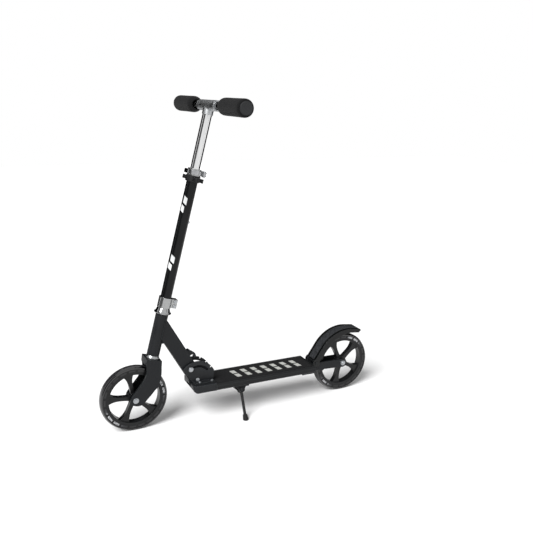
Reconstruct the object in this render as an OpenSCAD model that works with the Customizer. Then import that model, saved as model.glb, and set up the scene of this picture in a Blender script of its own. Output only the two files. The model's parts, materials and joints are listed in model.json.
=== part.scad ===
// Folding kick scooter with two large wheels.
// Frame: origin on the floor, midway between the axles. +X forward, +Y the rider's left, +Z up.

/* [Overall] */
// Distance between the two axles
wheelbase = 708; // [590:2:850]
// Height of the handlebar's middle line above the floor
bar_height = 935; // [780:5:1120]
// Width over the two grips
bar_width = 504; // [420:4:605]
// Lean of the steering axis from upright, in degrees
lean = 14; // [10:0.5:17]

/* [Wheels] */
// Diameter of both wheels
wheel_d = 200; // [167:1:240]
// Width of the tyres
tyre_w = 28; // [24:1:30]
// Radius of the tyre's crown, seen in section
crown_r = 24; // [18:1:40]
// How much the crown is flattened at the tread
tread_flat = 0.6; // [0.1:0.1:0.8]
// Height of the tyre's tread outside the rim
tread_h = 7; // [5:0.5:10]
// Width of the wheel core's rim
rim_w = 25; // [20:1:26]
// Radial depth of the rim's flange
rim_depth = 17.5; // [14:0.5:20]
// Width of the spokes along the axle
spoke_w = 17; // [12:1:20]
// Thickness of a spoke at its waist
spoke_waist = 11.5; // [8:0.5:14]
// Radius of the hub
hub_r = 18; // [16:0.5:22]
// Number of spokes
spokes = 5; // [5:1:6]
// Number of reflector dashes on each side
dashes = 21; // [16:1:26]
// Outer diameter of the ball bearings
bearing_d = 22; // [22:1:26]
// Width of a ball bearing
bearing_w = 7; // [6:1:8]
// Diameter of the axle bolts
axle_d = 8; // [6:1:10]
// Play between a bearing's bore and its axle, on the radius
axle_play = 0.06; // [0.03:0.01:0.1]

/* [Fork] */
// Distance of the front axle ahead of the steering axis
fork_offset = 29; // [20:1:36]
// Room between the front tyre and the fork's crown
crown_gap = 9; // [6:1:16]
// Height of the fork's crown
crown_h = 18; // [12:1:22]
// Half width between the fork's blades
fork_half = 20; // [18:0.5:24]
// Thickness of a fork blade
blade_t = 7; // [5:0.5:9]
// Breadth of the fork's crown, front to back
crown_w = 46; // [40:1:54]

/* [Steering column] */
// How much the head tube is wider than the column, on the radius
head_extra = 2.5; // [2:0.25:5]
// Wall of the head tube
head_wall = 2.4; // [2:0.1:3]
// Length of the head tube
head_len = 126; // [110:2:150]
// Height of the race between crown and head tube
race_h = 10; // [8:1:16]
// Diameter of the ring on top of the head tube
ring_d = 50; // [44:1:56]
// Height of that ring
ring_h = 7; // [5:0.5:10]
// Height of the spacer above that ring
spacer_h = 12; // [6:1:16]
// Diameter of the outer steering tube, called the column
column_d = 32; // [28:0.5:38]
// Wall of the outer steering tube
column_wall = 2; // [1.6:0.1:2]
// Share of the height from lower clamp to handlebar that the column takes
column_share = 0.69; // [0.62:0.01:0.72]
// Play between the column's bore and the inner stem, on the radius
column_play = 0.7; // [0.4:0.05:1.2]
// Play between the upper clamp's lip and the inner stem, on the radius
lip_play = 0.3; // [0.3:0.05:0.5]
// Wall of the inner stem
stem_wall = 1.8; // [1.4:0.1:2.2]
// Length of stem that stays inside the column
stem_insert = 84; // [60:2:100]
// Height of the lower clamp
low_clamp_h = 30; // [26:1:40]
// Wall of the lower clamp
low_clamp_wall = 4; // [3:0.5:6]
// Height of the upper clamp
top_clamp_h = 19; // [16:1:24]
// Wall of the upper clamp
top_clamp_wall = 3; // [2.5:0.5:5]
// Height of the bar holder below the upper clamp
holder_h = 17; // [14:1:22]
// Distance of a holder clip from the column's middle
clip_reach = 43; // [42:0.5:48]

/* [Handlebar] */
// Diameter of the handlebar tubes
bar_d = 22.2; // [19:0.2:25.4]
// Wall of the handlebar tubes
bar_wall = 1.8; // [1.5:0.1:2.5]
// Outer diameter of the T-piece
tee_d = 30; // [28:0.5:34]
// Length of the T-piece
tee_len = 130; // [100:2:140]
// Gap between the inner ends of the two bars
bar_gap = 6; // [4:1:10]
// Play between a bar and the T-piece, on the radius
bar_play = 0.08; // [0.05:0.01:0.1]
// Length of a foam grip
grip_len = 148; // [120:2:160]
// Diameter of a foam grip
grip_d = 47; // [36:1:50]
// Diameter of the grip's tapered inner end
grip_neck_d = 33; // [28:1:36]
// Length of the grip's taper
grip_taper = 14; // [8:1:20]

/* [Deck] */
// Height of the deck's top above the floor
deck_z = 119; // [110:1:150]
// Thickness of the deck
deck_t = 20; // [18:1:24]
// Width of the deck
deck_w = 108; // [96:2:130]
// Wall of the deck's hollow section
deck_wall = 2.6; // [2:0.2:4]
// Height of the sloped edge along the deck's top
deck_edge = 5; // [3:0.5:6]
// Thickness of the griptape
tape_t = 1; // [0.8:0.1:1.5]
// Gap between the rear tyre and the deck's rear end
deck_gap = 24; // [20:1:40]
// Distance of the fold pivot behind the front axle
pivot_back = 190; // [186:1:230]
// Height of the fold pivot above the deck
pivot_rise = 13; // [12:0.5:18]
// Length of the nose block behind the fold pivot
nose_back = 52; // [50:1:60]
// Length of the nose block ahead of the fold pivot
nose_front = 20; // [16:1:26]
// Height of the nose block above the deck
nose_rise = 3; // [2:0.5:4]

/* [Fold] */
// Half width between the two hinge plates
plate_half = 18.5; // [17.5:0.5:22]
// Thickness of a hinge plate
plate_t = 5; // [4:0.5:6]
// Radius of the hinge plates' rim
plate_r = 58; // [54:1:64]
// Distance from the fold pivot to the lock bolt
lock_r = 42.3; // [38:0.1:44]
// Diameter of the lock bolt
lock_d = 8; // [6:1:10]
// Diameter of the pivot bolt
pivot_d = 8; // [6:1:10]
// Fold angle from open to closed, in degrees
fold_angle = 79; // [60:1:79]
// Depth of the down tube, seen from the side
down_h = 43; // [36:1:46]
// Width of the down tube
down_w = 33; // [28:0.5:34]
// Wall of the down tube
down_wall = 2.5; // [2:0.1:3.5]
// Radius of the knuckle at the down tube's foot
knuckle_r = 26; // [24:0.5:28]
// Play between the knuckle and its bolt, on the radius
pivot_play = 0.06; // [0.03:0.01:0.1]
// How far above the head tube's lower end the down tube's line meets it
join_rise = 94; // [80:1:100]

/* [Rear] */
// Half width between the rear arms
arm_half = 17.5; // [16.5:0.5:20]
// Thickness of a rear arm
arm_t = 6; // [5:0.5:8]
// Height of a rear arm
arm_h = 23; // [20:0.5:26]
// Room between the rear tyre and the fender's arch
fender_gap = 10.5; // [10:0.5:16]
// Thickness of the fender's sheet
fender_t = 2.8; // [2.4:0.2:4]
// How far the fender's arch is set back from the axle
arch_back = 12; // [6:1:14]
// How far the fender's arch is set up from the axle
arch_up = 6; // [4:1:10]
// Depth of the fender's side skirts
skirt_h = 15; // [10:1:18]
// Gap between the rear tyre's front and the fender's pivot, along the ground
pin_ahead = 5; // [5:0.5:9]
// Radius of the fender's pivot bosses
boss_r = 13; // [10:0.5:14]
// How far the fender turns when it is trodden on, in degrees
brake_turn = 4; // [2:0.5:4]

/* [Kickstand] */
// Distance of the kickstand's pivot behind the fold pivot
kick_back = 137; // [120:1:190]
// Distance of the kickstand's pivot to the left of the middle
kick_side = 39; // [34:1:48]
// Distance of the kickstand's pivot below the deck
kick_drop = 19; // [17:1:24]
// Sideways splay of the leg, in degrees
kick_splay = 30; // [20:1:32]
// Forward rake of the leg, in degrees
kick_rake = 2; // [0:1:16]
// Diameter of the leg
leg_d = 9; // [8:0.5:12]

/* [Hidden] */

// Smoothness of round parts and of small round parts
$fn = 64;
small_fn = 32;
// Overshoot of a cut past the face it opens
cut = 1;
// Gap between parts that turn past each other
gap = 0.5;

wheel_r = wheel_d / 2;
front_x = wheelbase / 2;
rear_x = -wheelbase / 2;
rim_r = wheel_r - tread_h;
window_r = rim_r - rim_depth;
spacer_r = 7;
bolt_head_r = 6.4;
bolt_head_h = 5;

// Heights along the steering axis, measured from the foot of the front axle's offset
crown_low = wheel_r + crown_gap;
crown_top = crown_low + crown_h;
head_low = crown_top + race_h;
head_top = head_low + head_len;
ring_low = head_top + gap;
ring_top = ring_low + ring_h;
column_low = ring_top + spacer_h;
stem_line = (bar_height - wheel_r + fork_offset * sin(lean)) / cos(lean);
column_len = (stem_line - column_low) * column_share;
column_top = column_low + column_len;
bearing_seat_h = 9;
steerer_d = column_d - 2 * column_wall;
head_d = column_d + 2 * head_extra;
stem_d = steerer_d - 2 * column_play;
stem_low = column_top - stem_insert;
neck_h = 26;
clamp_low = column_top - top_clamp_h + 3;
holder_low = clamp_low - gap - holder_h;

// The fold pivot, the line of the down tube through it, and its length to the head tube
pivot_x = front_x - pivot_back;
pivot_z = deck_z + pivot_rise;
foot_x = front_x - fork_offset * cos(lean);
foot_z = wheel_r - fork_offset * sin(lean);
join_w = head_low + join_rise;
join_x = foot_x - join_w * sin(lean);
join_z = foot_z + join_w * cos(lean);
down_angle = atan2(join_z - pivot_z, join_x - pivot_x);
down_len = norm([join_x - pivot_x, join_z - pivot_z]);

deck_rear = wheel_r + deck_gap;
deck_x0 = rear_x + deck_rear;
deck_x1 = pivot_x - nose_back;
nose_x1 = pivot_x + nose_front;
nose_z1 = deck_z + nose_rise;
arm_z = wheel_r + 4;
fender_pivot_x = wheel_r + pin_ahead;
fender_z = max(deck_z - 2, arm_z + 9);
pivot_half = plate_half + plate_t;
arm_out = arm_half + arm_t;
kick_x = pivot_x - kick_back;
kick_z = deck_z - deck_t - kick_drop;

// ---- shapes shared by several parts ----

function arc(cx, cy, r, a0, a1, n) =
    [for (i = [0 : n]) let(a = a0 + (a1 - a0) * i / n) [cx + r * cos(a), cy + r * sin(a)]];

module along_y(y0, y1, r, fn = 64) {
    translate([0, y0, 0]) rotate([-90, 0, 0]) cylinder(r = r, h = y1 - y0, $fn = fn);
}

// Turns a flat outline drawn in X and Z into a plate from y0 to y1
module side_plate(y0, y1) {
    translate([0, y1, 0]) rotate([90, 0, 0]) linear_extrude(y1 - y0) children();
}

module on_steering() {
    translate([front_x, 0, wheel_r]) rotate([0, -lean, 0])
        translate([-fork_offset, 0, 0]) children();
}

module at_fold() { translate([pivot_x, 0, pivot_z]) children(); }

// Local X runs up along the down tube from the fold pivot, local Z points back to the rider
module along_down_tube() { at_fold() rotate([0, -down_angle, 0]) children(); }

module hex_nut(r, h) { cylinder(r = r, h = h, $fn = 6); }

module mirrored_y() {
    children();
    mirror([0, 1, 0]) children();
}

// A bolt across the machine: shank, domed head on the left and nut on the right
module cross_bolt(half, d, head_r, head_h) {
    along_y(-half, half, d / 2);
    along_y(half, half + head_h * 0.6, head_r, small_fn);
    along_y(half + head_h * 0.6, half + head_h, head_r * 0.8, small_fn);
    translate([0, -half, 0]) rotate([90, 0, 0]) hex_nut(head_r, head_h);
}

// ---- wheels ----

module tyre_shape() {
    rotate([-90, 0, 0]) rotate_extrude($fn = 128) intersection() {
        translate([rim_r, -tyre_w / 2]) square([tread_h, tyre_w]);
        translate([wheel_r - crown_r + tread_flat, 0]) circle(r = crown_r, $fn = 96);
    }
}

function spoke_half(r) = spoke_waist / 2
    + 10 * pow(max(0, (r - 0.5 * window_r) / (0.5 * window_r)), 2.6)
    + 2.5 * pow(max(0, (0.42 * window_r - r) / (0.3 * window_r)), 2);

module spoke_outline() {
    r0 = hub_r - 3;
    r1 = window_r + 2;
    n = 12;
    polygon(concat(
        [for (i = [0 : n]) let(r = r0 + (r1 - r0) * i / n) [r, spoke_half(r)]],
        [for (i = [n : -1 : 0]) let(r = r0 + (r1 - r0) * i / n) [r, -spoke_half(r)]]));
}

module core_shape(turn) {
    rotate([0, -turn, 0]) difference() {
        union() {
            rotate([-90, 0, 0]) rotate_extrude($fn = 128)
                translate([window_r, -rim_w / 2]) square([rim_depth, rim_w]);
            along_y(-rim_w / 2, rim_w / 2, hub_r);
            for (i = [0 : spokes - 1]) rotate([0, -360 / spokes * i, 0])
                translate([0, spoke_w / 2, 0]) rotate([90, 0, 0])
                    linear_extrude(spoke_w) spoke_outline();
        }
        along_y(-rim_w, rim_w, bearing_d / 2 - 2);
        mirrored_y() along_y(rim_w / 2 - bearing_w, rim_w / 2 + cut, bearing_d / 2);
    }
}

module bearings_shape() {
    for (side = [-1, 1]) translate([0, side * (rim_w - bearing_w) / 2, 0]) difference() {
        along_y(-bearing_w / 2, bearing_w / 2, bearing_d / 2);
        along_y(-bearing_w, bearing_w, axle_d / 2 + axle_play);
    }
}

// One sleeve between the bearings and one washer outside each bearing, all on the axle
module spacers_shape(half) {
    inner = rim_w / 2 - bearing_w - gap / 2;
    difference() {
        union() {
            along_y(-inner, inner, spacer_r);
            mirrored_y() along_y(rim_w / 2 + gap / 2, half, spacer_r);
        }
        along_y(-half - cut, half + cut, axle_d / 2);
    }
}

dash_in = 8;
dash_h = 6;
dash_t = 0.8;
dash_share = 0.72;

module reflectors_shape(turn) {
    step = 360 / dashes;
    for (i = [0 : dashes - 1]) rotate([0, -(turn + step * (i - dash_share / 2)), 0])
        rotate([90, 0, 0]) mirror([0, 0, 1]) for (side = [-1, 1])
            rotate_extrude(angle = step * dash_share, $fn = 128)
                translate([rim_r - dash_in, side > 0 ? rim_w / 2 : -rim_w / 2 - dash_t])
                    square([dash_h, dash_t]);
}

module at_front_axle() { translate([front_x, 0, wheel_r]) children(); }
module at_rear_axle() { translate([rear_x, 0, wheel_r]) children(); }

front_spoke_turn = 6;
rear_spoke_turn = 65;
front_dash_turn = -16;
rear_dash_turn = -44;

module front_tyre() { color("#2c2c30") at_front_axle() tyre_shape(); }
module rear_tyre() { color("#2c2c30") at_rear_axle() tyre_shape(); }
module front_wheel_core() { color("#202024") at_front_axle() core_shape(front_spoke_turn); }
module rear_wheel_core() { color("#202024") at_rear_axle() core_shape(rear_spoke_turn); }
module front_bearings() { color("silver") at_front_axle() bearings_shape(); }
module rear_bearings() { color("silver") at_rear_axle() bearings_shape(); }
module front_spacers() { color("gray") at_front_axle() spacers_shape(fork_half); }
module rear_spacers() { color("gray") at_rear_axle() spacers_shape(arm_half); }
module front_reflectors() { color("white") at_front_axle() reflectors_shape(front_dash_turn); }
module rear_reflectors() { color("white") at_rear_axle() reflectors_shape(rear_dash_turn); }

module front_axle() {
    color("silver") at_front_axle() cross_bolt(fork_half + blade_t, axle_d, bolt_head_r, bolt_head_h);
}

module rear_axle() {
    color("silver") at_rear_axle() cross_bolt(arm_out, axle_d, bolt_head_r, bolt_head_h);
}

// ---- fork and steering column, drawn upright and then leaned ----

crown_back = 22;

// Points of a smooth line through the given ones, n steps between each pair
function smooth_line(p, n) = concat([for (i = [0 : len(p) - 2]) for (j = [0 : n - 1]) let(
        t = j / n,
        a = p[max(i - 1, 0)],
        b = p[i],
        c = p[i + 1],
        d = p[min(i + 2, len(p) - 1)])
    b + 0.5 * t * (c - a + t * (2 * a - 5 * b + 4 * c - d + t * (3 * b - a - 3 * c + d)))],
    [p[len(p) - 1]]);

// Blade seen from the side: a swept strap from the crown, round at the axle.
// Heights are shares of the crown's height, so the blade grows with the wheel.
module blade_outline() {
    h = crown_low;
    front = crown_w - crown_back;
    ahead = fork_offset;
    polygon(concat(
        [[front, crown_top]],
        smooth_line([[front - 2, crown_low], [front - 7, 0.88 * h], [front - 8.5, 0.72 * h],
            [front - 4, 0.54 * h], [front + 4, 0.38 * h], [ahead + 9, 0.18 * h],
            [ahead + 15.5, 0.04 * h], [ahead + 15, -6], [ahead + 7, -14], [ahead - 5, -16.5],
            [ahead - 18, -13.5], [ahead - 27, -5], [ahead - 34, 0.07 * h], [ahead - 42, 0.19 * h],
            [ahead - 50, 0.33 * h], [-crown_back - 7, 0.45 * h], [-crown_back - 8.5, 0.62 * h],
            [-crown_back - 7.5, 0.8 * h], [-crown_back - 3, crown_low]], 4),
        [[-crown_back, crown_top]]));
}

module fork() {
    color("#2b2b2d") on_steering() difference() {
        union() {
            mirrored_y() side_plate(fork_half, fork_half + blade_t) blade_outline();
            translate([-crown_back, -fork_half, crown_low])
                cube([crown_w, 2 * fork_half, crown_h]);
        }
        translate([0, 0, crown_low - cut]) cylinder(d = steerer_d, h = crown_h + 2 * cut);
        translate([fork_offset, 0, 0])
            along_y(-fork_half - blade_t - cut, fork_half + blade_t + cut, axle_d / 2);
    }
}

module steerer() {
    color("gray") on_steering() difference() {
        translate([0, 0, crown_low]) cylinder(d = steerer_d, h = column_low + low_clamp_h - crown_low);
        translate([0, 0, crown_low - cut])
            cylinder(d = steerer_d - 6, h = column_low + low_clamp_h - crown_low + 2 * cut);
    }
}

module fork_race() {
    r0 = steerer_d / 2;
    color("silver") on_steering() rotate_extrude() polygon([
        [r0, crown_top], [head_d / 2 + 2, crown_top], [head_d / 2 + 2, crown_top + 3],
        [head_d / 2 + 0.5, head_low - 3], [head_d / 2 - 1, head_low - gap], [r0, head_low - gap]]);
}

module headset_ring() {
    r0 = steerer_d / 2;
    r1 = ring_d / 2;
    color("silver") on_steering() rotate_extrude() polygon([
        [r0, ring_low], [head_d / 2 + 1, ring_low], [r1 - 1, ring_low + 1.5], [r1, ring_low + 3],
        [r1, ring_low + 4.5], [r1 - 1.5, ring_low + 4.5], [r1 - 4, ring_low + 3.2],
        [r0 + 6, ring_low + 3.2], [r0 + 5, ring_top], [r0, ring_top]]);
}

module headset_spacer() {
    color("#dcdedf") on_steering() translate([0, 0, ring_top]) difference() {
        cylinder(d1 = ring_d - 6, d2 = column_d + 3, h = spacer_h);
        translate([0, 0, -cut]) cylinder(d = steerer_d, h = spacer_h + 2 * cut);
    }
}

low_clamp_r = column_d / 2 + low_clamp_wall;
low_ear = 14;
low_ear_half = 11;
slit = 3;
clamp_bolt_d = 6;

module lower_clamp() {
    color("#c9cbcd") on_steering() translate([0, 0, column_low]) difference() {
        union() {
            cylinder(r = low_clamp_r, h = low_clamp_h);
            translate([-low_clamp_r - low_ear, -low_ear_half, 2])
                cube([low_clamp_r + low_ear, 2 * low_ear_half, low_clamp_h - 4]);
        }
        translate([0, 0, -cut]) cylinder(d = column_d, h = low_clamp_h + 2 * cut);
        translate([-low_clamp_r - low_ear - cut, -slit / 2, -cut])
            cube([low_clamp_r + low_ear + cut, slit, low_clamp_h + 2 * cut]);
        for (z = [0.27, 0.73]) translate([-low_clamp_r - low_ear / 2, 0, low_clamp_h * z])
            along_y(-low_ear_half - cut, low_ear_half + cut, clamp_bolt_d / 2, small_fn);
    }
}

module clamp_bolts() {
    color("silver") on_steering() for (z = [0.27, 0.73])
        translate([-low_clamp_r - low_ear / 2, 0, column_low + low_clamp_h * z])
            cross_bolt(low_ear_half, clamp_bolt_d, 5.2, 5);
}

module steering_tube() {
    color("#2b2b2d") on_steering() translate([0, 0, column_low]) difference() {
        cylinder(d = column_d, h = column_len);
        translate([0, 0, -cut]) cylinder(d = column_d - 2 * column_wall, h = column_len + 2 * cut);
    }
}

top_clamp_r = column_d / 2 + top_clamp_wall;
top_ear = 11;
top_ear_half = 9;
skewer_d = 5;
skewer_x = -top_clamp_r - top_ear / 2;

module upper_clamp() {
    color("#c9cbcd") on_steering() translate([0, 0, clamp_low]) difference() {
        union() {
            cylinder(r = top_clamp_r, h = top_clamp_h);
            translate([-top_clamp_r - top_ear, -top_ear_half, 2])
                cube([top_clamp_r + top_ear, 2 * top_ear_half, top_clamp_h - 4]);
        }
        translate([0, 0, -cut]) cylinder(d = column_d, h = column_top - clamp_low + cut);
        cylinder(r = stem_d / 2 + lip_play, h = top_clamp_h + cut);
        translate([-top_clamp_r - top_ear - cut, -slit / 2, -cut])
            cube([top_clamp_r + top_ear + cut, slit, top_clamp_h + 2 * cut]);
        translate([skewer_x, 0, top_clamp_h / 2])
            along_y(-top_ear_half - cut, top_ear_half + cut, skewer_d / 2, small_fn);
    }
}

// Skewer with its nut on the right and a barrel on the left that the lever turns on
barrel_r = 6;
barrel_y = top_ear_half + gap + barrel_r;
lever_pin_r = 2.5;
lever_h = 12;

module clamp_skewer() {
    color("silver") on_steering() translate([skewer_x, 0, clamp_low + top_clamp_h / 2]) {
        along_y(-top_ear_half, barrel_y - lever_pin_r + 0.5, skewer_d / 2, small_fn);
        translate([0, -top_ear_half, 0]) rotate([90, 0, 0]) hex_nut(5.5, 5);
        translate([0, barrel_y, -lever_h / 2 - 1.5])
            cylinder(r = lever_pin_r, h = lever_h + 3, $fn = small_fn);
        for (z = [-lever_h / 2 - 2.5, lever_h / 2 + 1]) translate([0, barrel_y, z])
            cylinder(r = 4, h = 1.5, $fn = small_fn);
    }
}

// Cam lever that lies round the left side of the clamp
lever_play = 0.08;
lever_t = 3.5;
lever_r = top_clamp_r + 2.5;
lever_open = 110;
lever_wrap = [10, 140];

// Outline of the lever's arm: curved round the clamp, with a straight end to push on
function lever_points() = let(
        a0 = lever_wrap[0],
        a1 = lever_wrap[1],
        straight = 13 * [sin(a0), -cos(a0)],
        outer = lever_r + lever_t)
    concat([lever_r * [cos(a0), sin(a0)] + straight, outer * [cos(a0), sin(a0)] + straight],
        arc(0, 0, outer, a0, a1, 26), arc(0, 0, lever_r, a1, a0, 26));

// Slot in the lever's barrel that lets the skewer through while the lever turns
module lever_slot() {
    half = skewer_d / 2 + gap;
    deep = barrel_r + cut;
    for (a = [0, -lever_open]) rotate(a) translate([-half, -deep]) square([2 * half, deep]);
    polygon(concat([[0, 0]], arc(0, 0, deep, -90, -90 - lever_open, 12)));
}

module clamp_lever() {
    z0 = clamp_low + top_clamp_h / 2 - lever_h / 2;
    color("#d5d7d9") on_steering() translate([0, 0, z0]) difference() {
        union() {
            translate([skewer_x, barrel_y, 0]) cylinder(r = barrel_r, h = lever_h);
            linear_extrude(lever_h) polygon(lever_points());
        }
        translate([skewer_x, barrel_y, -cut])
            cylinder(r = lever_pin_r + lever_play, h = lever_h + 2 * cut, $fn = small_fn);
        translate([skewer_x, barrel_y, lever_h / 2 - skewer_d / 2 - gap])
            linear_extrude(skewer_d + 2 * gap) lever_slot();
    }
}

clip_in = bar_d / 2 + 0.1;
clip_wall = 3.6;
clip_h = 11;
clip_mouth = 34;

// Collar with an open clip on each side, which hold the bars when they are stowed
module bar_holder() {
    collar_r = column_d / 2 + 4.5;
    color("#1d1d1f") on_steering() translate([0, 0, holder_low]) difference() {
        union() {
            cylinder(r = collar_r, h = holder_h);
            mirrored_y() {
                translate([-4, collar_r - 2, holder_h / 2 - clip_h / 2])
                    cube([8, clip_reach - clip_in - collar_r + 1, clip_h]);
                translate([0, clip_reach, holder_h / 2 - clip_h / 2])
                    rotate([0, 0, 90 + clip_mouth]) rotate_extrude(angle = 360 - 2 * clip_mouth)
                        translate([clip_in, 0]) square([clip_wall, clip_h]);
            }
        }
        translate([0, 0, -cut]) cylinder(d = column_d, h = holder_h + 2 * cut);
    }
}

// ---- inner stem and handlebar ----

module inner_stem() {
    color("#dfe2e4") on_steering() difference() {
        translate([0, 0, stem_low]) cylinder(d = stem_d, h = stem_line - tee_d / 2 - stem_low - 2);
        translate([0, 0, stem_low - cut]) cylinder(d = stem_d - 2 * stem_wall, h = stem_line);
    }
}

module at_bar() { on_steering() translate([0, 0, stem_line]) children(); }

module tee_piece() {
    color("#c9cbcd") difference() {
        at_bar() difference() {
            union() {
                along_y(-tee_len / 2, tee_len / 2, tee_d / 2);
                translate([0, 0, -neck_h]) cylinder(d = stem_d + 4, h = neck_h);
            }
            along_y(-tee_len / 2 - cut, tee_len / 2 + cut, bar_d / 2 + bar_play);
            translate([0, 0, -neck_h - cut]) cylinder(d = stem_d, h = neck_h - tee_d / 2 - 1);
        }
    }
}

module bar_tube() {
    at_bar() difference() {
        along_y(bar_gap / 2, bar_width / 2 - 3, bar_d / 2);
        along_y(0, bar_width / 2, bar_d / 2 - bar_wall);
    }
}

// Foam sleeve: tapered inner end, straight body, rounded outer edge
module grip_shape() {
    y1 = bar_width / 2 - 3;
    y0 = y1 - grip_len;
    r = grip_d / 2;
    edge = 4;
    at_bar() rotate([-90, 0, 0]) rotate_extrude() polygon(concat(
        [[bar_d / 2, y0], [grip_neck_d / 2, y0], [grip_neck_d / 2 + 2, y0 + 2],
         [r - 1.5, y0 + grip_taper - 2], [r, y0 + grip_taper + 2]],
        arc(r - edge, y1 - edge, edge, 0, 90, 5),
        [[bar_d / 2, y1]]));
}

module plug_shape() {
    y1 = bar_width / 2 - 3;
    at_bar() {
        along_y(y1 - 12, y1, bar_d / 2 - bar_wall);
        along_y(y1, y1 + 2, grip_d / 2 - 6);
        along_y(y1 + 2, y1 + 3, grip_d / 2 - 7.5);
    }
}

module bar_left() { color("#dfe2e4") bar_tube(); }
module bar_right() { color("#dfe2e4") mirror([0, 1, 0]) bar_tube(); }
module grip_left() { color("#1b1b1c") grip_shape(); }
module grip_right() { color("#1b1b1c") mirror([0, 1, 0]) grip_shape(); }
module grip_plug_left() { color("#3a3a3c") plug_shape(); }
module grip_plug_right() { color("#3a3a3c") mirror([0, 1, 0]) plug_shape(); }

// ---- folding frame ----

module head_tube() {
    color("#2b2b2d") on_steering() translate([0, 0, head_low]) difference() {
        cylinder(d = head_d, h = head_len);
        translate([0, 0, -cut]) cylinder(d = head_d - 2 * head_wall, h = head_len + 2 * cut);
    }
}

module bearing_cup(z) {
    translate([0, 0, z]) difference() {
        cylinder(d = head_d - 2 * head_wall, h = bearing_seat_h);
        translate([0, 0, -cut]) cylinder(r = steerer_d / 2 + axle_play, h = bearing_seat_h + 2 * cut);
    }
}

module lower_bearing() { color("silver") on_steering() bearing_cup(head_low); }
module upper_bearing() { color("silver") on_steering() bearing_cup(head_top - bearing_seat_h); }

// Latch pivot, measured up the down tube and out from its back face
latch_up = 86;
latch_out = 4.5;
latch_half = 6;
latch_ear_t = 3;
latch_pin_d = 4;

module at_latch() { along_down_tube() translate([latch_up, 0, down_h / 2 + latch_out]) children(); }

// Web in the crotch between the down tube and the head tube, hollowed to a curve
gusset_w = down_w - 6;
gusset_run = 5;
tube_tilt = down_angle - lean;

function under_tube(along, deep = 0) = [
    -along * cos(tube_tilt) + (down_h / 2 - deep) * sin(tube_tilt),
    join_w - along * sin(tube_tilt) - (down_h / 2 - deep) * cos(tube_tilt)];

function curve(a, k, b, n) = [for (i = [0 : n]) let(t = i / n)
    pow(1 - t, 2) * a + 2 * t * (1 - t) * k + t * t * b];

module gusset_outline() {
    crotch_s = (head_d / 2 + down_h / 2 * sin(tube_tilt)) / cos(tube_tilt);
    crotch = under_tube(crotch_s);
    a = [-head_d / 2, crotch[1] - gusset_run];
    b = under_tube(crotch_s + gusset_run);
    polygon(concat(curve(a, 0.6 * crotch + 0.2 * (a + b), b, 8),
        [under_tube(crotch_s + gusset_run, 2), crotch + [4, 6], a + [4, 0]]));
}

// Rectangular tube with a round knuckle at the pivot and two ears for the latch
module down_tube() {
    ear_y = latch_half + gap;
    color("#2b2b2d") difference() {
        union() {
            along_down_tube() {
                translate([0, -down_w / 2, -down_h / 2]) cube([down_len, down_w, down_h]);
                along_y(-down_w / 2, down_w / 2, knuckle_r);
            }
            at_latch() mirrored_y() {
                along_y(ear_y, ear_y + latch_ear_t, 4.5, small_fn);
                translate([-4.5, ear_y, -latch_out - 1]) cube([9, latch_ear_t, latch_out + 1]);
            }
            on_steering() side_plate(-gusset_w / 2, gusset_w / 2) gusset_outline();
        }
        along_down_tube() {
            translate([knuckle_r + lock_r, -down_w / 2 + down_wall, -down_h / 2 + down_wall])
                cube([down_len, down_w - 2 * down_wall, down_h - 2 * down_wall]);
            along_y(-down_w, down_w, pivot_d / 2 + pivot_play);
            translate([lock_r, 0, 0]) along_y(-down_w, down_w, lock_d / 2);
        }
        on_steering() translate([0, 0, head_low - down_h])
            cylinder(d = head_d, h = head_len + 2 * down_h);
        // Nothing of the tube stands ahead of the steering axis
        on_steering() translate([0, -down_w, head_low - down_h])
            cube([down_h * 2, 2 * down_w, head_len + 3 * down_h]);
        at_latch() along_y(-20, 20, latch_pin_d / 2, small_fn);
    }
}

lock_head_r = 7.4;

module lock_bolt() {
    color("silver") along_down_tube() translate([lock_r, 0, 0])
        cross_bolt(pivot_half + gap, lock_d, lock_head_r, 5);
}

module latch_pin() {
    y1 = latch_half + gap + latch_ear_t;
    color("silver") at_latch() along_y(-y1 - 0.5, y1 + 0.5, latch_pin_d / 2, small_fn);
}

latch_play = 0.08;

// Hooked lever: a claw that reaches out and down over the rim
module latch_hook() {
    color("#26282a") at_latch() difference() {
        side_plate(-latch_half, latch_half) {
            circle(r = 4, $fn = small_fn);
            polygon([[3.5, -2], [3.5, 3], [-3, 6], [-11, 10], [-18, 13], [-25, 11.5], [-29, 8.5],
                [-28.5, 4], [-25, 2], [-23.5, 6], [-18, 6.5], [-14, 2], [-14, -3.5], [0, -4]]);
        }
        along_y(-20, 20, latch_pin_d / 2 + latch_play, small_fn);
    }
}

// ---- deck and hinge ----

deck_low = deck_z - deck_t;

module deck_outline() {
    h = deck_w / 2;
    edge_in = 5;
    polygon([[-h + 3, deck_low], [h - 3, deck_low], [h, deck_low + 3], [h, deck_z - deck_edge],
        [h - edge_in, deck_z], [-h + edge_in, deck_z], [-h, deck_z - deck_edge], [-h, deck_low + 3]]);
}

// Extruded section with three hollow chambers
module deck() {
    chamber = (deck_w - 14 - 4 * deck_wall) / 3;
    color("#38393b") translate([deck_x0, 0, 0]) rotate([90, 0, 90])
        linear_extrude(deck_x1 - deck_x0) difference() {
            deck_outline();
            for (i = [-1, 0, 1]) translate([i * (chamber + deck_wall) - chamber / 2, deck_low + deck_wall])
                square([chamber, deck_t - 2 * deck_wall]);
        }
}

tape_in = 4;

module griptape() {
    w = deck_w - 10 - tape_in;
    color("#4a4b4c") translate([deck_x0 + 8, -w / 2, deck_z])
        cube([deck_x1 - deck_x0 - 8 - tape_in, w, tape_t]);
}

slot_half = plate_half - 0.5;
nose_w = deck_w - 4;
floor_t = 4;

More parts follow.
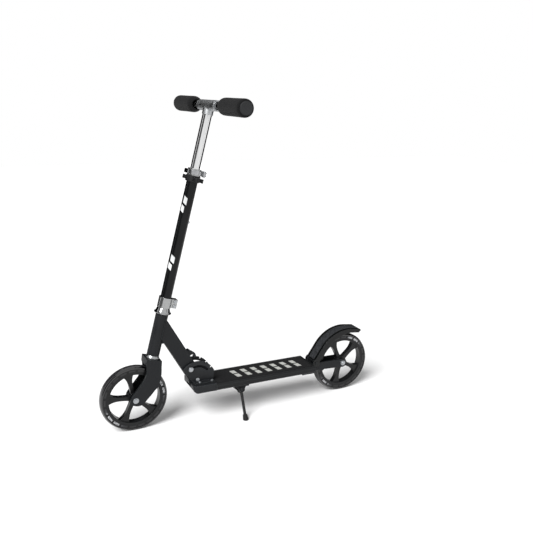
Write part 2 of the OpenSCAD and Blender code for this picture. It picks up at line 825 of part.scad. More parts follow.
// Casting that closes the deck's front end; its slot clears the turning knuckle
// Casting with a rounded front and rounded front corners
module nose_block() {
    r = 12;
    corner_r = 14;
    y0 = nose_w / 2 - corner_r;
    color("#2e2f31") difference() {
        intersection() {
            side_plate(-nose_w / 2, nose_w / 2) polygon(concat(
                [[deck_x1, nose_z1], [deck_x1, deck_low]],
                arc(nose_x1 - r, deck_low + r, r, -90, 0, 8),
                arc(nose_x1 - 4, nose_z1 - 4, 4, 0, 90, 4)));
            translate([0, 0, deck_low - cut]) linear_extrude(deck_t + nose_rise + 2 * cut)
                polygon(concat([[deck_x1 - cut, nose_w / 2 + cut], [deck_x1 - cut, -nose_w / 2 - cut],
                    [nose_x1 - corner_r, -nose_w / 2 - cut]],
                    arc(nose_x1 - corner_r, -y0, corner_r + 0.1, -90, 0, 8),
                    arc(nose_x1 - corner_r, y0, corner_r + 0.1, 0, 90, 8),
                    [[nose_x1 - corner_r, nose_w / 2 + cut]]));
        }
        at_fold() along_y(-slot_half, slot_half, knuckle_r + 1.5);
        translate([pivot_x, -slot_half, deck_low + floor_t])
            cube([nose_front + cut, 2 * slot_half, deck_t]);
    }
}

plate_screw_y = plate_half + plate_t + 9;
foot_out = plate_screw_y + 8;
foot_t = 4;
screw_x = [pivot_x - nose_back + 9, pivot_x - 4];

// Outline of the curved slot, with its half width w; the lock bolt rests in its front end
function slot_points(w) = let(
        a0 = down_angle,
        a1 = down_angle + fold_angle)
    concat(arc(0, 0, lock_r + w, a0, a1, 40),
        arc(lock_r * cos(a1), lock_r * sin(a1), w, a1 + 10, a1 + 170, 12),
        arc(0, 0, lock_r - w, a1, a0, 40),
        arc(lock_r * cos(a0), lock_r * sin(a0), w, a0 + 190, a0 + 350, 12));

// Sector plate with a notched rim, a curved slot for the lock bolt and a foot on the nose block
module hinge_plate() {
    low = nose_z1 - pivot_z;
    back = -plate_r + 1;
    slot_w = lock_d / 2 + 0.35;
    color("#303133") {
        difference() {
            union() {
                at_fold() side_plate(plate_half, pivot_half) polygon(concat(
                    arc(0, 0, plate_r, 41, 160, 24),
                    [[back + 7, low], [13, low]]));
                translate([pivot_x + back + 7, plate_half, nose_z1])
                    cube([13 - back - 7, foot_out - plate_half, foot_t]);
            }
            at_fold() {
                along_y(0, pivot_half + cut, pivot_d / 2);
                for (a = [116, 142]) rotate([0, -a, 0]) translate([plate_r - 5, 0, -3])
                    cube([7, pivot_half + cut, 6]);
                side_plate(0, pivot_half + cut) polygon(slot_points(slot_w));
            }
            for (x = screw_x) translate([x, plate_screw_y, nose_z1 - cut])
                cylinder(d = 5, h = foot_t + 2 * cut, $fn = small_fn);
        }
    }
}

module hinge_plate_left() { hinge_plate(); }
module hinge_plate_right() { mirror([0, 1, 0]) hinge_plate(); }

module plate_screws() {
    color("silver") mirrored_y() for (x = screw_x) translate([x, plate_screw_y, nose_z1 + foot_t]) {
        translate([0, 0, -foot_t]) cylinder(d = 5, h = foot_t, $fn = small_fn);
        cylinder(r = 4.5, h = 2, $fn = small_fn);
        translate([0, 0, 2]) cylinder(r = 3, h = 1, $fn = small_fn);
    }
}

module fold_pivot_bolt() {
    color("silver") at_fold() cross_bolt(pivot_half, pivot_d, 6, 4.5);
}

// ---- rear end ----

cross_t = 5;
cross_len = 44;
rear_screw_y = 38;
rear_screw_x = [12, 32];
arm_end_r = 14;
pin_ear_r = 9;
tie_t = 7;
tie_h = 16;

module arm_outline() {
    x1 = deck_rear + cross_len;
    top = deck_low - wheel_r;
    high = arm_z + arm_h / 2 - wheel_r;
    low = min(arm_z - arm_h / 2 - wheel_r, top - cross_t);
    polygon(concat(
        arc(0, 0, arm_end_r, 75, 265, 12),
        [[deck_rear - 2, low], [x1, top - cross_t], [x1, top], [deck_rear - 0.5, top],
         [deck_rear - 0.5, high], [deck_rear - 55, high]]));
}

// Two arms joined by a cross plate that is screwed under the deck
module rear_fork() {
    low = deck_low - cross_t;
    color("#2b2b2d") difference() {
        union() {
            at_rear_axle() mirrored_y() side_plate(arm_half, arm_out) arm_outline();
            at_fender_pin() mirrored_y() along_y(arm_half, arm_out, pin_ear_r);
            translate([deck_x0 - 1, -deck_w / 2 + 6, low])
                cube([cross_len + 1, deck_w - 12, cross_t]);
            translate([deck_x0 - 0.5 - tie_t, -arm_out, low]) cube([tie_t, 2 * arm_out, tie_h]);
        }
        at_rear_axle() along_y(-arm_out - cut, arm_out + cut, axle_d / 2);
        at_fender_pin() along_y(-arm_out - cut, arm_out + cut, fender_pin_d / 2, small_fn);
        for (x = rear_screw_x) mirrored_y() translate([deck_x0 + x, rear_screw_y, low - cut])
            cylinder(d = 5, h = cross_t + 2 * cut, $fn = small_fn);
    }
}

module rear_fork_screws() {
    low = deck_low - cross_t;
    color("silver") mirrored_y() for (x = rear_screw_x) translate([deck_x0 + x, rear_screw_y, low]) {
        cylinder(d = 5, h = cross_t, $fn = small_fn);
        translate([0, 0, -2]) cylinder(r = 4.5, h = 2, $fn = small_fn);
    }
}

fender_pin_d = 6;
fender_play = 0.08;
fender_side = arm_out + gap;
fender_half = fender_side + fender_t;
fender_r = wheel_r + fender_gap;
leg_angle = 34;
tail_angle = 98;
leg_len = 50;
tail_len = 31;
tail_roll_r = 4;
tail_skirt = 9;

// Point i of the fender's side outline at distance d outside its inner face:
// 0 is the leg's lower end, 1 to last - 1 the arch, and last the tail's end
arch_steps = 18;
last = arch_steps + 2;

function fender_point(i, d) = let(
        a = leg_angle + (tail_angle - leg_angle) * min(max(i - 1, 0), arch_steps) / arch_steps,
        on_arch = [-arch_back, arch_up] + (fender_r + d) * [cos(a), sin(a)])
    i == 0 ? on_arch + leg_len * [sin(a), -cos(a)]
    : i == last ? on_arch + tail_len * [-sin(a), cos(a)] : on_arch;

function skirt_depth(i) = i < 12 ? skirt_h : skirt_h + (tail_skirt - skirt_h) * (i - 11) / (last - 11);

module at_fender_pin() { translate([rear_x + fender_pivot_x, 0, fender_z]) children(); }

// Where the skirts' lower ends meet the bosses, measured from the rear axle
fender_foot_out = fender_point(0, fender_t);
fender_foot_in = fender_point(0, -skirt_h);

// Arched sheet with side skirts, a rolled tail, and a boss on each side for the pin
module fender() {
    pin = [fender_pivot_x, fender_z - wheel_r];
    roll = fender_point(last, fender_t - tail_roll_r);
    color("#262729") difference() {
        union() {
            at_rear_axle() {
                side_plate(-fender_half, fender_half) polygon(concat(
                    [for (i = [0 : last]) fender_point(i, fender_t)],
                    [for (i = [last : -1 : 0]) fender_point(i, 0)]));
                mirrored_y() side_plate(fender_side, fender_half) {
                    polygon(concat([for (i = [0 : last]) fender_point(i, 0.5)],
                        [for (i = [last : -1 : 0]) fender_point(i, -skirt_depth(i))]));
                    polygon([fender_foot_out, fender_foot_in, pin + [-boss_r, 0], pin + [boss_r, 0]]);
                }
                translate([roll[0], 0, roll[1]]) along_y(-fender_half, fender_half, tail_roll_r, small_fn);
            }
            at_fender_pin() mirrored_y() along_y(fender_side, fender_half, boss_r);
        }
        at_fender_pin()
            along_y(-fender_half - cut, fender_half + cut, fender_pin_d / 2 + fender_play, small_fn);
    }
}

module fender_pin() {
    color("silver") at_fender_pin() cross_bolt(fender_half + 0.2, fender_pin_d, 5, 3);
}

pad_half = 11;
pad_span = [78, 102];
tread_room = 0.4;

// Block under the arch; its lower face fits the tyre when the fender is trodden down
module fender_brake_pad() {
    pin = [fender_pivot_x, fender_z - wheel_r];
    pressed = pin - [pin[0] * cos(brake_turn) + pin[1] * sin(brake_turn),
        pin[1] * cos(brake_turn) - pin[0] * sin(brake_turn)];
    color("gray") at_rear_axle() side_plate(-pad_half, pad_half) polygon(concat(
        arc(-arch_back, arch_up, fender_r, pad_span[0], pad_span[1], 6),
        arc(pressed[0], pressed[1], wheel_r + tread_room, pad_span[1] + 3, pad_span[0] - 3, 8)));
}

// ---- kickstand ----

kick_pin_d = 6;
kick_play = 0.08;
kick_half = 7;
kick_cheek = 3;

module at_kick() { translate([kick_x, kick_side, kick_z]) rotate([kick_splay, 0, 0]) children(); }

leg_run = kick_z / (cos(kick_splay) * cos(kick_rake));
leg_tip = 4;
foot_at = [kick_x + leg_run * sin(kick_rake), kick_side + leg_run * cos(kick_rake) * sin(kick_splay), 0];

module along_leg() { at_kick() rotate([0, -kick_rake, 0]) children(); }

// Two cheeks hung from a plate under the deck
module kickstand_bracket() {
    y1 = kick_half + gap;
    plate_t = 4;
    color("#232426") difference() {
        union() {
            intersection() {
                at_kick() mirrored_y() {
                    along_y(y1, y1 + kick_cheek, 9);
                    side_plate(y1, y1 + kick_cheek)
                        polygon([[-8.9, 0], [0, -4], [8.9, 0], [24, 15], [24, 34], [-20, 34], [-20, 15]]);
                }
                translate([kick_x - 60, 0, kick_z - 20])
                    cube([140, deck_w / 2, deck_low - kick_z + 20 - plate_t + gap]);
            }
            translate([kick_x - 22, kick_side - 22, deck_low - plate_t]) cube([48, 34, plate_t]);
        }
        at_kick() along_y(-20, 20, kick_pin_d / 2, small_fn);
    }
}

module kickstand_bolt() {
    color("silver") at_kick() cross_bolt(kick_half + gap + kick_cheek, kick_pin_d, 5.5, 3.5);
}

module kickstand_leg() {
    color("#232426") difference() {
        union() {
            at_kick() along_y(-kick_half, kick_half, 8, small_fn);
            along_leg() translate([0, 0, -leg_run + leg_tip])
                cylinder(d = leg_d, h = leg_run - leg_tip, $fn = small_fn);
        }
        at_kick() along_y(-20, 20, kick_pin_d / 2 + kick_play, small_fn);
    }
}

// Rubber shoe: a flat round sole and a sleeve on the leg's end
module kickstand_foot() {
    color("#18181a") difference() {
        hull() {
            translate(foot_at) cylinder(r = leg_d / 2 + 4, h = 3, $fn = small_fn);
            along_leg() translate([0, 0, -leg_run + 14])
                cylinder(r = leg_d / 2 + 2, h = 3, $fn = small_fn);
        }
        along_leg() translate([0, 0, -leg_run + leg_tip]) cylinder(d = leg_d, h = leg_run, $fn = small_fn);
    }
}

deck();
griptape();
nose_block();
hinge_plate_left();
hinge_plate_right();
plate_screws();
fold_pivot_bolt();
rear_fork();
rear_fork_screws();
rear_axle();
kickstand_bracket();
kickstand_bolt();
kickstand_leg();
kickstand_foot();
fender();
fender_pin();
fender_brake_pad();
down_tube();
head_tube();
lower_bearing();
upper_bearing();
lock_bolt();
latch_hook();
latch_pin();
fork();
steerer();
fork_race();
headset_ring();
headset_spacer();
lower_clamp();
clamp_bolts();
steering_tube();
upper_clamp();
clamp_skewer();
clamp_lever();
bar_holder();
front_axle();
inner_stem();
tee_piece();
bar_left();
bar_right();
grip_left();
grip_right();
grip_plug_left();
grip_plug_right();
front_tyre();
front_wheel_core();
front_bearings();
front_spacers();
front_reflectors();
rear_tyre();
rear_wheel_core();
rear_bearings();
rear_spacers();
rear_reflectors();
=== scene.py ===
import json
import math

import bpy
from mathutils import Matrix, Vector


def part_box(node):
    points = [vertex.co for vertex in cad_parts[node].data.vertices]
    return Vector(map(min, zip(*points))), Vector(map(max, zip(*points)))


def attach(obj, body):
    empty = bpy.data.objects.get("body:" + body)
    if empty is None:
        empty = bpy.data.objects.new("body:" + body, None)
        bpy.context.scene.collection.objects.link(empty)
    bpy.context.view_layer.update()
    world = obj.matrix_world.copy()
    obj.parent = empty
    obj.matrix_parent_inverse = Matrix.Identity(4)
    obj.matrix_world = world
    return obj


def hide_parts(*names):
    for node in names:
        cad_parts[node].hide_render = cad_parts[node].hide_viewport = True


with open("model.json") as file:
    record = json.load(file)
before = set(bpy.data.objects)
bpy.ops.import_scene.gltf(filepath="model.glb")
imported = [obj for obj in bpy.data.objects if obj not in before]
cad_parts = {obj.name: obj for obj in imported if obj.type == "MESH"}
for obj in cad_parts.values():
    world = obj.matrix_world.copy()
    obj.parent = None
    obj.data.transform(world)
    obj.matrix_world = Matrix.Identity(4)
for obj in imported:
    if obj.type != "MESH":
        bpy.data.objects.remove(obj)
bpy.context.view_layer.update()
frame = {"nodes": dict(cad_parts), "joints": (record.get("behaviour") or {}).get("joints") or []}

MM = 0.001
NODES = frame["nodes"]


# ---- small helpers ----

def linear(hex_colour):
    """The linear colour that a shader works in, from an sRGB hex value."""
    parts = [int(hex_colour[i:i + 2], 16) / 255 for i in (1, 3, 5)]
    return [p / 12.92 if p <= 0.04045 else ((p + 0.055) / 1.055) ** 2.4 for p in parts] + [1.0]


def fine(size):
    """The texture scale whose features are this many millimetres across."""
    return 1000.0 / size


def add_node(tree, kind, inputs=(), **settings):
    """Adds a node with its settings. inputs gives each socket a value, or the node or
    socket it is fed from."""
    node = tree.nodes.new("ShaderNode" + kind)
    for name, value in settings.items():
        setattr(node, name, value)
    for key, value in dict(inputs).items():
        if isinstance(value, bpy.types.Node):
            value = value.outputs[0]
        if isinstance(value, bpy.types.NodeSocket):
            tree.links.new(value, node.inputs[key])
        else:
            node.inputs[key].default_value = value
    return node


def new_material(name, colour, metallic, roughness, **sockets):
    """A material with one shader, whose even values sit on the shader's own sockets."""
    material = bpy.data.materials.new(name)
    material.use_nodes = True
    tree = material.node_tree
    shader = tree.nodes["Principled BSDF"]
    shader.inputs["Base Color"].default_value = linear(colour)
    shader.inputs["Metallic"].default_value = metallic
    shader.inputs["Roughness"].default_value = roughness
    for socket, value in sockets.items():
        shader.inputs[socket.replace("_", " ")].default_value = value
    return material, tree, shader


def feed(tree, shader, socket, source):
    """Joins a node's first output, or the given output, to a socket of the shader."""
    if isinstance(source, bpy.types.Node):
        source = source.outputs[0]
    tree.links.new(source, shader.inputs[socket])


def place(tree):
    """Object coordinates: the piece's own place, in metres."""
    return add_node(tree, "TexCoord").outputs["Object"]


def ramp(tree, factor, stops):
    """A ramp from (place, hex colour) pairs."""
    node = add_node(tree, "ValToRGB", {"Fac": factor})
    points = node.color_ramp.elements
    while len(points) < len(stops):
        points.new(0.5)
    for point, (where, colour) in zip(points, stops):
        point.position = where
        point.color = linear(colour)
    return node


def mixed(tree, factor, first, second):
    """The colour between first and second, by factor."""
    node = add_node(tree, "Mix", {0: factor, 6: first, 7: second}, data_type="RGBA")
    return node.outputs[2]


def sums(tree, operation, first, second=0.0, third=0.0):
    """One step of arithmetic."""
    return add_node(tree, "Math", {0: first, 1: second, 2: third}, operation=operation)


# ---- places on the machine ----

front_axle_low, front_axle_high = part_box("front_axle")
FRONT_AXLE = (front_axle_low + front_axle_high) / 2
FRONT_AXLE.y = 0.0
rear_low, rear_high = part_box("rear_tyre")
REAR_AXLE = (rear_low + rear_high) / 2
REAR_AXLE.y = 0.0
STEER_AXIS = Vector(next(j["axis"] for j in frame["joints"] if j["name"] == "steer")).normalized()
LEAN = math.atan2(-STEER_AXIS.x, STEER_AXIS.z)
AHEAD = Vector((math.cos(LEAN), 0.0, math.sin(LEAN)))  # square to the steering axis
FORK_OFFSET = 29.0 * MM
STEER_FOOT = FRONT_AXLE - FORK_OFFSET * AHEAD


def up_column(w, x=0.0, y=0.0):
    """The point w mm up the steering axis, x mm ahead of it and y mm to its left."""
    return STEER_FOOT + (STEER_AXIS * w + AHEAD * x + Vector((0, y, 0))) * MM


# ---- finishes ----

def edge_light(tree, radius):
    """Rounded corners for the light, and a white band along them that the finishes use to paint a highlight
    on the corners.
    """
    soft = add_node(tree, "Bevel", {"Radius": radius * MM}, samples=6)
    flat = add_node(tree, "NewGeometry")
    same = add_node(tree, "VectorMath", {0: soft, 1: flat.outputs["Normal"]}, operation="DOT_PRODUCT")
    painted_edge_highlight = ramp(tree, same.outputs["Value"], [(0.86, "#ffffff"), (0.985, "#000000")])
    return soft, painted_edge_highlight


def powder_coat(name, colour, cloud_tone_and_edge_highlight, roughness=0.45, peel=3.0, edge=1.2, depth=0.06):
    """Powder coat, baked on steel or aluminium: a satin black skin with a faint orange peel,
    cloudy patches where the sheen changes, and corners painted a little lighter as a painted highlight.
    Real peel is about 1 mm across and is drawn at 3 mm so that it shows."""
    material, tree, shader = new_material(name, colour, 0.0, roughness, Specular_IOR_Level=0.2)
    where = place(tree)
    cloud = add_node(tree, "TexNoise", {"Vector": where, "Scale": fine(70), "Detail": 4.0})
    grain = add_node(tree, "TexNoise", {"Vector": where, "Scale": fine(peel), "Detail": 3.0})
    soft, painted_edge_highlight = edge_light(tree, edge)
    clouded = [0.75 * a + 0.25 * b for a, b in zip(linear(colour), linear(cloud_tone_and_edge_highlight))]
    tone = mixed(tree, cloud.outputs["Fac"], linear(colour), clouded)
    # painted highlight: the corners are mixed towards the paler tone
    feed(tree, shader, "Base Color", mixed(tree, painted_edge_highlight, tone, linear(cloud_tone_and_edge_highlight)))
    gloss = add_node(tree, "MapRange", {"Value": cloud.outputs["Fac"], "From Min": 0.3, "From Max": 0.7,
                                        "To Min": roughness - 0.07, "To Max": roughness + 0.07})
    feed(tree, shader, "Roughness", gloss)
    bump = add_node(tree, "Bump", {"Height": grain.outputs["Fac"], "Strength": depth, "Distance": 0.0006,
                                   "Normal": soft})
    feed(tree, shader, "Normal", bump)
    return material


def gloss_paint(name, colour, marks):
    """Stove-enamelled steel tube: deep gloss black with a soft vertical light, faint hairline
    scuffs along the tube, and two pale printed flashes on its front left side."""
    material, tree, shader = new_material(name, colour, 0.0, 0.24, Specular_IOR_Level=0.22)
    local = add_node(tree, "Mapping", {"Vector": place(tree), "Location": STEER_FOOT,
                                       "Rotation": (0, -LEAN, 0)}, vector_type="TEXTURE")
    axes = add_node(tree, "SeparateXYZ", {0: local})
    turn = sums(tree, "ARCTAN2", axes.outputs["Y"], axes.outputs["X"])
    high = sums(tree, "MULTIPLY", axes.outputs["Z"], 1000.0)
    slope = 9.0  # mm of rise per radian round the tube
    inked = None
    for low, top, centre, half in marks:
        slant = sums(tree, "MULTIPLY", turn, slope)
        level = sums(tree, "ADD", high, slant)
        shifted = slope * centre
        for part in (0, 1):
            span = (top - low) * (0.44 if part else 0.40)
            mid = (low + span / 2 if part == 0 else top - span / 2) + shifted
            rows = sums(tree, "COMPARE", level, mid, span / 2)
            columns = sums(tree, "COMPARE", turn, centre + (0.12 if part else -0.12), half)
            block = sums(tree, "MULTIPLY", rows, columns)
            inked = block if inked is None else sums(tree, "MAXIMUM", inked, block)
    cloud = add_node(tree, "TexNoise", {"Vector": place(tree), "Scale": fine(90), "Detail": 5.0})
    base = ramp(tree, cloud.outputs["Fac"], [(0.3, colour), (0.7, "#0e0f10")])
    print_tone = ramp(tree, cloud.outputs["Fac"], [(0.3, "#b9bbbb"), (0.7, "#dcdddd")])
    feed(tree, shader, "Base Color", mixed(tree, inked, base, print_tone))
    scuff_place = add_node(tree, "Mapping", {"Vector": local,
                                             "Scale": (fine(1.5), fine(1.5), fine(60))})
    scuff = add_node(tree, "TexNoise", {"Vector": scuff_place, "Scale": 1.0, "Detail": 2.0})
    rough = add_node(tree, "MapRange", {"Value": scuff.outputs["Fac"], "From Min": 0.35, "From Max": 0.75,
                                        "To Min": 0.18, "To Max": 0.36})
    feed(tree, shader, "Roughness", rough)
    return material


def bright_metal(name, colour, roughness, lines, along, strength=0.08, smudge=0.08, rim="#ffffff"):
    """Bare or plated metal: fine lines where it was turned, drawn or brushed run along one axis,
    and faint smudges change the gloss. rim is the tint at a glancing angle. Real lines are
    under 0.1 mm and are drawn coarser to show."""
    material, tree, shader = new_material(name, colour, 1.0, roughness, Specular_Tint=linear(rim))
    size = [lines] * 3
    size[along] = 60.0
    turned = add_node(tree, "Mapping", {"Vector": place(tree), "Rotation": (0, LEAN, 0)})
    stretched = add_node(tree, "Mapping", {"Vector": turned, "Scale": [fine(s) for s in size]})
    brush = add_node(tree, "TexNoise", {"Vector": stretched, "Scale": 1.0, "Detail": 3.0})
    cloud = add_node(tree, "TexNoise", {"Vector": place(tree), "Scale": fine(25), "Detail": 4.0})
    rough = add_node(tree, "MapRange", {"Value": cloud.outputs["Fac"], "From Min": 0.3, "From Max": 0.7,
                                        "To Min": max(0.02, roughness - smudge / 2),
                                        "To Max": roughness + smudge})
    feed(tree, shader, "Roughness", rough)
    soft = add_node(tree, "Bevel", {"Radius": 0.8 * MM}, samples=6)
    dark, light = ([min(1.0, k * c) for c in linear(colour)[:3]] + [1.0] for k in (0.55, 1.12))
    feed(tree, shader, "Base Color", mixed(tree, brush.outputs["Fac"], dark, light))
    bump = add_node(tree, "Bump", {"Height": brush.outputs["Fac"], "Strength": strength,
                                   "Distance": 0.0003, "Normal": soft})
    feed(tree, shader, "Normal", bump)
    return material


def foam_rubber():
    """Closed-cell foam sleeve, cut from a moulded tube: matt black, velvety at a glancing angle,
    pitted all over by open cells. Cells of about 0.5 mm are drawn at 2.5 mm so that they show."""
    material, tree, shader = new_material("foam_rubber", "#0d0d0e", 0.0, 0.92, Specular_IOR_Level=0.15,
                                          Sheen_Weight=0.04, Sheen_Roughness=0.5)
    where = place(tree)
    cells = add_node(tree, "TexVoronoi", {"Vector": where, "Scale": fine(2.5)})
    cloud = add_node(tree, "TexNoise", {"Vector": where, "Scale": fine(18), "Detail": 5.0})
    # painted shade: the open cell pits are painted darker than their rims
    pits = ramp(tree, cells.outputs["Distance"], [(0.0, "#070708"), (0.55, "#111112")])
    feed(tree, shader, "Base Color", mixed(tree, cloud.outputs["Fac"], pits, linear("#161617")))
    bump = add_node(tree, "Bump", {"Height": cells.outputs["Distance"], "Strength": 0.5, "Distance": 0.0008})
    feed(tree, shader, "Normal", bump)
    return material


def tyre_rubber():
    """Cast polyurethane tyre: smoky black, glossy from the mould on its walls, and dulled by a
    rolled band round the tread with fine dust in it."""
    material, tree, shader = new_material("cast_urethane", "#0c0c0e", 0.0, 0.2, Specular_IOR_Level=0.5,
                                          Coat_Weight=0.6, Coat_Roughness=0.1)
    where = place(tree)
    across = add_node(tree, "SeparateXYZ", {0: where})
    side = sums(tree, "ABSOLUTE", across.outputs["Y"])
    tread = add_node(tree, "MapRange", {"Value": side, "From Min": 5 * MM, "From Max": 9 * MM,
                                        "To Min": 1.0, "To Max": 0.0})
    dust = add_node(tree, "TexNoise", {"Vector": where, "Scale": fine(6), "Detail": 6.0})
    rolled = sums(tree, "MULTIPLY", tread, dust.outputs["Fac"])
    tone = ramp(tree, rolled, [(0.0, "#0c0c0e"), (0.65, "#222124")])
    feed(tree, shader, "Base Color", tone)
    rough = add_node(tree, "MapRange", {"Value": rolled, "To Min": 0.15, "To Max": 0.8})
    feed(tree, shader, "Roughness", rough)
    bump = add_node(tree, "Bump", {"Height": dust.outputs["Fac"], "Strength": 0.12, "Distance": 0.0006})
    feed(tree, shader, "Normal", bump)
    return material


def moulded_plastic(name, colour, light, roughness=0.42, grain=2.5):
    """Injection-moulded nylon: satin black with a fine spark-eroded grain, and corners painted lighter as a
    painted highlight.
    The grain is about 0.2 mm in life and is drawn coarser so that it shows."""
    material, tree, shader = new_material(name, colour, 0.0, roughness, Specular_IOR_Level=0.3)
    where = place(tree)
    skin = add_node(tree, "TexNoise", {"Vector": where, "Scale": fine(grain), "Detail": 3.0})
    cloud = add_node(tree, "TexNoise", {"Vector": where, "Scale": fine(40), "Detail": 3.0})
    soft, painted_edge_highlight = edge_light(tree, 1.0)
    tone = ramp(tree, cloud.outputs["Fac"], [(0.35, colour), (0.75, light)])
    # painted highlight: the corners are mixed towards the light tone
    feed(tree, shader, "Base Color", mixed(tree, painted_edge_highlight, tone, linear(light)))
    rough = add_node(tree, "MapRange", {"Value": cloud.outputs["Fac"], "To Min": roughness - 0.08,
                                        "To Max": roughness + 0.08})
    feed(tree, shader, "Roughness", rough)
    bump = add_node(tree, "Bump", {"Height": skin.outputs["Fac"], "Strength": 0.1, "Distance": 0.0004,
                                   "Normal": soft})
    feed(tree, shader, "Normal", bump)
    return material


def reflector_foil(name, axle, fans):
    """Retro-reflective foil set in the rim, with painted glints: the film is painted pale and bead-filled in
    fixed sectors round the axle as a painted reflection, and painted smoky black elsewhere as painted dark
    reflection.
    fans gives each painted glint sector's middle and half angle."""
    material, tree, shader = new_material(name, "#4a4b50", 0.0, 0.35)
    where = add_node(tree, "Mapping", {"Vector": place(tree), "Location": axle}, vector_type="TEXTURE")
    axes = add_node(tree, "SeparateXYZ", {0: where})
    turn = sums(tree, "ARCTAN2", axes.outputs["Z"], axes.outputs["X"])
    # the sectors round the axle where a glint is painted on the foil
    painted_glint_sectors = None
    for middle, half in fans:
        off = sums(tree, "SUBTRACT", turn, math.radians(middle))
        away = sums(tree, "ABSOLUTE", sums(tree, "WRAP", off, math.pi, -math.pi))
        fan = add_node(tree, "MapRange", {"Value": away, "From Min": math.radians(half - 8),
                                          "From Max": math.radians(half + 8), "To Min": 1.0, "To Max": 0.0})
        painted_glint_sectors = fan if painted_glint_sectors is None else sums(tree, "MAXIMUM", painted_glint_sectors, fan)
    beads = add_node(tree, "TexVoronoi", {"Vector": where, "Scale": fine(1.6)})
    painted_glint = sums(tree, "MULTIPLY", painted_glint_sectors, sums(tree, "SUBTRACT", 1.0, beads.outputs["Distance"]))
    # painted glints: pale in the sectors, dark elsewhere
    tone = ramp(tree, painted_glint, [(0.0, "#141416"), (0.3, "#2c2c30"), (0.85, "#f2f3f6")])
    feed(tree, shader, "Base Color", tone)
    bump = add_node(tree, "Bump", {"Height": beads.outputs["Distance"], "Strength": 0.2, "Distance": 0.0003})
    feed(tree, shader, "Normal", bump)
    return material


def grit_sheet():
    """Silicon-carbide grip sheet: charcoal grit in black resin, scuffed paler where feet land,
    with a row of slanted printed bars down the middle. Grit of 0.3 mm is drawn at 1.8 mm to show."""
    material, tree, shader = new_material("grip_sheet", "#1c1c1c", 0.0, 0.85, Specular_IOR_Level=0.15)
    where = place(tree)
    axes = add_node(tree, "SeparateXYZ", {0: where})
    x = sums(tree, "MULTIPLY", axes.outputs["X"], 1000.0)
    y = sums(tree, "MULTIPLY", axes.outputs["Y"], 1000.0)
    grit = add_node(tree, "TexVoronoi", {"Vector": where, "Scale": fine(1.8)})
    scuffs = add_node(tree, "TexNoise", {"Vector": where, "Scale": fine(55), "Detail": 6.0})
    grains = ramp(tree, grit.outputs["Distance"], [(0.0, "#242425"), (0.5, "#151516"), (1.0, "#0b0b0c")])
    worn = mixed(tree, scuffs.outputs["Fac"], grains, linear("#1e1e1f"))
    # seven slanted bars, each cut in two
    pitch, first, last = 35.0, -197.0, 48.0
    middle, half_bar, half_row, half_cut, slant = 3.0, 8.0, 25.0, 3.0, 0.16
    slanted = sums(tree, "ADD", x, sums(tree, "MULTIPLY", y, slant))
    step = sums(tree, "WRAP", slanted, first + pitch, first)
    bar = sums(tree, "COMPARE", step, first + pitch / 2, half_bar)
    run = sums(tree, "COMPARE", slanted, (first + last) / 2, (last - first) / 2)
    tall = sums(tree, "COMPARE", y, middle, half_row)
    off = sums(tree, "ABSOLUTE", sums(tree, "SUBTRACT", y, middle))
    cut = sums(tree, "GREATER_THAN", off, half_cut)
    inked = sums(tree, "MULTIPLY", sums(tree, "MULTIPLY", bar, run), sums(tree, "MULTIPLY", tall, cut))
    ink = ramp(tree, grit.outputs["Distance"], [(0.0, "#d2d3cf"), (0.7, "#a4a5a1")])
    feed(tree, shader, "Base Color", mixed(tree, inked, worn, ink))
    bump = add_node(tree, "Bump", {"Height": grit.outputs["Distance"], "Strength": 0.6, "Distance": 0.0008})
    feed(tree, shader, "Normal", bump)
    return material


def extruded_deck():
    """Extruded aluminium, powder coated: satin black with die lines along its length, and a painted
    highlight along its corners as thin pale lines."""
    material, tree, shader = new_material("coated_extrusion", "#101112", 0.0, 0.38, Specular_IOR_Level=0.22)
    where = place(tree)
    drawn = add_node(tree, "Mapping", {"Vector": where, "Scale": (fine(180), fine(3), fine(3))})
    lines = add_node(tree, "TexNoise", {"Vector": drawn, "Scale": 1.0, "Detail": 3.0})
    soft, painted_edge_highlight = edge_light(tree, 1.6)
    tone = ramp(tree, lines.outputs["Fac"], [(0.3, "#0d0e0f"), (0.7, "#151617")])
    # painted highlight: pale grey along the corners
    feed(tree, shader, "Base Color", mixed(tree, painted_edge_highlight, tone, linear("#45474a")))
    rough = add_node(tree, "MapRange", {"Value": lines.outputs["Fac"], "To Min": 0.3, "To Max": 0.5})
    feed(tree, shader, "Roughness", rough)
    bump = add_node(tree, "Bump", {"Height": lines.outputs["Fac"], "Strength": 0.12, "Distance": 0.0005,
                                   "Normal": soft})
    feed(tree, shader, "Normal", bump)
    return material


def pressed_fender():
    """Pressed steel sheet, painted: a gritty non-slip coat on top where the shoe brakes, and smooth
    satin paint on its skirts."""
    material, tree, shader = new_material("pressed_steel_paint", "#0c0d0d", 0.0, 0.5, Specular_IOR_Level=0.28)
    where = place(tree)
    across = add_node(tree, "SeparateXYZ", {0: where})
    side = sums(tree, "ABSOLUTE", across.outputs["Y"])
    top = add_node(tree, "MapRange", {"Value": side, "From Min": 15 * MM, "From Max": 17 * MM,
                                      "To Min": 1.0, "To Max": 0.0})
    grit = add_node(tree, "TexNoise", {"Vector": where, "Scale": fine(3.5), "Detail": 5.0})
    coat = sums(tree, "MULTIPLY", top, grit.outputs["Fac"])
    soft, painted_edge_highlight = edge_light(tree, 1.2)
    tone = ramp(tree, coat, [(0.0, "#090a0a"), (0.4, "#0a0b0b"), (0.66, "#34363a")])
    # painted highlight: the corners are mixed towards a paler grey
    feed(tree, shader, "Base Color", mixed(tree, painted_edge_highlight, tone, linear("#343638")))
    rough = add_node(tree, "MapRange", {"Value": top, "To Min": 0.24, "To Max": 0.72})
    feed(tree, shader, "Roughness", rough)
    bump = add_node(tree, "Bump", {"Height": coat, "Strength": 0.9, "Distance": 0.0015, "Normal": soft})
    feed(tree, shader, "Normal", bump)
    return material


